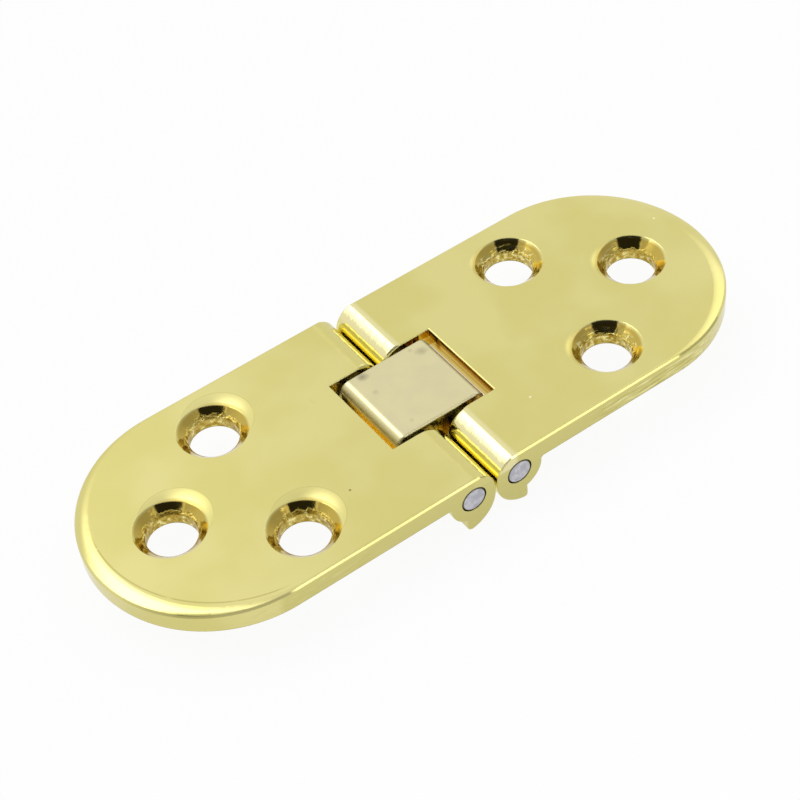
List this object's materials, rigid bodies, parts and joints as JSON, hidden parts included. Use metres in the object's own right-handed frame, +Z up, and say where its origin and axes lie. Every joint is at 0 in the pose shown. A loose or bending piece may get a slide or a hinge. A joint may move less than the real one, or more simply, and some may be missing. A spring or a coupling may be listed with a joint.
{
  "type": "drop leaf table hinge",
  "caption": "Flush drop leaf table hinge: round-ended leaves with countersunk screw holes fold on parallel pins about a link block set in a window between them.",
  "frame": {"origin": "on the ground under the middle of the link, with the hinge open and flat", "axes": "+X across the fold towards the right leaf, +Y along the pins, +Z up out of the flush top faces"},
  "size_m": [0.08, 0.03, 0.0073],
  "materials": {
    "leaf_plating": "polished pale gold plating on a casting",
    "link_plating": "paler gold plating, lightly smudged",
    "pin_steel": "cut steel ends"
  },
  "bodies": {
    "leaf_left": {"leaf_left": "leaf_plating"},
    "link": {"link_block": "link_plating", "pin_left": "pin_steel", "pin_right": "pin_steel"},
    "leaf_right": {"leaf_right": "leaf_plating"}
  },
  "joints": [
    {"name": "left_fold", "type": "hinge", "parent": "leaf_left", "child": "link", "pos_m": [-0.003, 0, 0.00455], "axis": [0, -1, 0], "range_deg": [0, 90]},
    {"name": "right_fold", "type": "hinge", "parent": "link", "child": "leaf_right", "pos_m": [0.003, 0, 0.00455], "axis": [0, -1, 0], "range_deg": [0, 90]}
  ]
}
